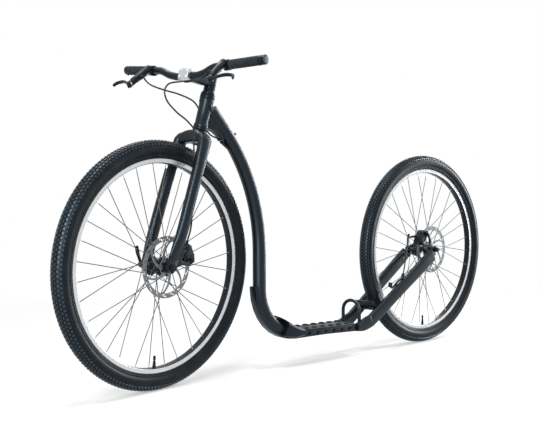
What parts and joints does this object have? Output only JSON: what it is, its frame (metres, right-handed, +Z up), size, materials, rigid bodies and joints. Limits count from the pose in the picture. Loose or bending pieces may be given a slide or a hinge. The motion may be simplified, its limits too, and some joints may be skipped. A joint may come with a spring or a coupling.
{
  "type": "kick bike",
  "caption": "Adult kick bike with a bent tube frame, a low foot deck, two large spoked wheels, turning fork and handlebar, and disc brakes.",
  "frame": {"origin": "on the ground midway between the two wheel axles, in the frame's middle plane", "axes": "+X towards the front wheel, +Y to the rider's left, +Z up"},
  "size_m": [1.9849, 0.5776, 0.9757],
  "materials": {
    "frame_paint": "satin black paint",
    "black_alloy": "black anodised",
    "silver_alloy": "polished",
    "spoke_steel": "stainless wire",
    "rotor_steel": "ground steel",
    "tyre": "matt rubber",
    "butyl": "matt rubber",
    "grip_rubber": "matt rubber",
    "hose_plastic": "smooth jacket",
    "grey_plastic": "moulded",
    "pad_compound": "pressed compound"
  },
  "bodies": {
    "frame": {"head_tube": "frame_paint", "lower_headset_cup": "black_alloy", "upper_headset_cup": "black_alloy", "lower_headset_bearing": "rotor_steel", "upper_headset_bearing": "rotor_steel", "main_tube": "frame_paint", "hose_grommet": "hose_plastic", "head_gusset": "frame_paint", "deck_nose": "frame_paint", "deck_tray": "frame_paint", "keel_channel": "frame_paint", "deck_plate": "frame_paint", "left_arm": "frame_paint", "right_arm": "frame_paint", "rear_bridge": "frame_paint", "foot_hoop": "frame_paint", "right_dropout": "frame_paint", "left_dropout": "frame_paint", "rear_axle": "black_alloy", "rear_caliper": "black_alloy", "rear_hose": "hose_plastic"},
    "steering": {"headset_spacers": "black_alloy", "fork_crown": "frame_paint", "left_fork_leg": "frame_paint", "right_fork_leg": "frame_paint", "stem": "black_alloy", "stem_faceplate": "silver_alloy", "top_cap": "black_alloy", "handlebar": "black_alloy", "left_grip": "grip_rubber", "right_grip": "grip_rubber", "left_lock_ring": "black_alloy", "right_lock_ring": "black_alloy", "left_end_plug": "grey_plastic", "right_end_plug": "grey_plastic", "left_lever_body": "black_alloy", "right_lever_body": "black_alloy", "front_axle": "black_alloy", "front_caliper": "black_alloy", "front_hose": "hose_plastic", "rear_hose_free_run": "hose_plastic"},
    "front_wheel": {"front_tyre": "tyre", "front_inner_tube": "butyl", "front_rim": "black_alloy", "front_hub_and_spokes": "spoke_steel", "front_rotor": "rotor_steel"},
    "rear_wheel": {"rear_tyre": "tyre", "rear_inner_tube": "butyl", "rear_rim": "black_alloy", "rear_hub_and_spokes": "spoke_steel", "rear_rotor": "rotor_steel"},
    "left_blade": {"left_brake_blade": "black_alloy"},
    "right_blade": {"right_brake_blade": "black_alloy"},
    "front_quick_release": {"front_qr_lever": "black_alloy"},
    "rear_quick_release": {"rear_qr_lever": "black_alloy"},
    "front_outer_pad_body": {"front_outer_pad": "pad_compound"},
    "front_inner_pad_body": {"front_inner_pad": "pad_compound"},
    "rear_outer_pad_body": {"rear_outer_pad": "pad_compound"},
    "rear_inner_pad_body": {"rear_inner_pad": "pad_compound"}
  },
  "joints": [
    {"name": "steering_turn", "type": "hinge", "parent": "frame", "child": "steering", "pos_m": [0.455, 0, 0.81393], "axis": [-0.284, 0, 0.9588], "range_deg": [-76.9, 63.1], "deforming": ["rear_hose_free_run"]},
    {"name": "front_wheel_spin", "type": "hinge", "parent": "steering", "child": "front_wheel", "pos_m": [0.62972, 0.00481, 0.36392], "axis": [-0.1152, 0.9928, -0.0341], "continuous": true},
    {"name": "rear_wheel_spin", "type": "hinge", "parent": "frame", "child": "rear_wheel", "pos_m": [-0.63, 0, 0.364], "axis": [0, 1, 0], "continuous": true},
    {"name": "left_lever_pull", "type": "hinge", "parent": "steering", "child": "left_blade", "pos_m": [0.5809, 0.18637, 0.88762], "axis": [0.5114, 0.0794, 0.8557], "range_deg": [0, 22], "stiffness_Nm_per_rad": 0.6},
    {"name": "right_lever_pull", "type": "hinge", "parent": "steering", "child": "right_blade", "pos_m": [0.6196, -0.1472, 0.89908], "axis": [-0.5092, -0.0978, -0.855], "range_deg": [0, 22], "stiffness_Nm_per_rad": 0.6},
    {"name": "front_quick_release_swing", "type": "hinge", "parent": "steering", "child": "front_quick_release", "pos_m": [0.63832, -0.06925, 0.36646], "axis": [0.948, 0.0996, -0.3024], "range_deg": [0, 150]},
    {"name": "rear_quick_release_swing", "type": "hinge", "parent": "frame", "child": "rear_quick_release", "pos_m": [-0.63, -0.0776, 0.364], "axis": [0.9848, 0, 0.1736], "range_deg": [0, 150]},
    {"name": "front_outer_pad_slide", "type": "slide", "parent": "steering", "child": "front_outer_pad_body", "axis": [0.1152, -0.9928, 0.0341], "range_m": [0, 0.0005]},
    {"name": "front_inner_pad_slide", "type": "slide", "parent": "steering", "child": "front_inner_pad_body", "axis": [-0.1152, 0.9928, -0.0341], "range_m": [0, 0.0005]},
    {"name": "rear_outer_pad_slide", "type": "slide", "parent": "frame", "child": "rear_outer_pad_body", "axis": [0, -1, 0], "range_m": [0, 0.0005]},
    {"name": "rear_inner_pad_slide", "type": "slide", "parent": "frame", "child": "rear_inner_pad_body", "axis": [0, 1, 0], "range_m": [0, 0.0005]}
  ],
  "couplings": [
    {"joint": "front_outer_pad_slide", "follows": "left_lever_pull", "m_per_rad": 0.0012},
    {"joint": "front_inner_pad_slide", "follows": "left_lever_pull", "m_per_rad": 0.0012},
    {"joint": "rear_outer_pad_slide", "follows": "right_lever_pull", "m_per_rad": 0.0012},
    {"joint": "rear_inner_pad_slide", "follows": "right_lever_pull", "m_per_rad": 0.0012}
  ]
}
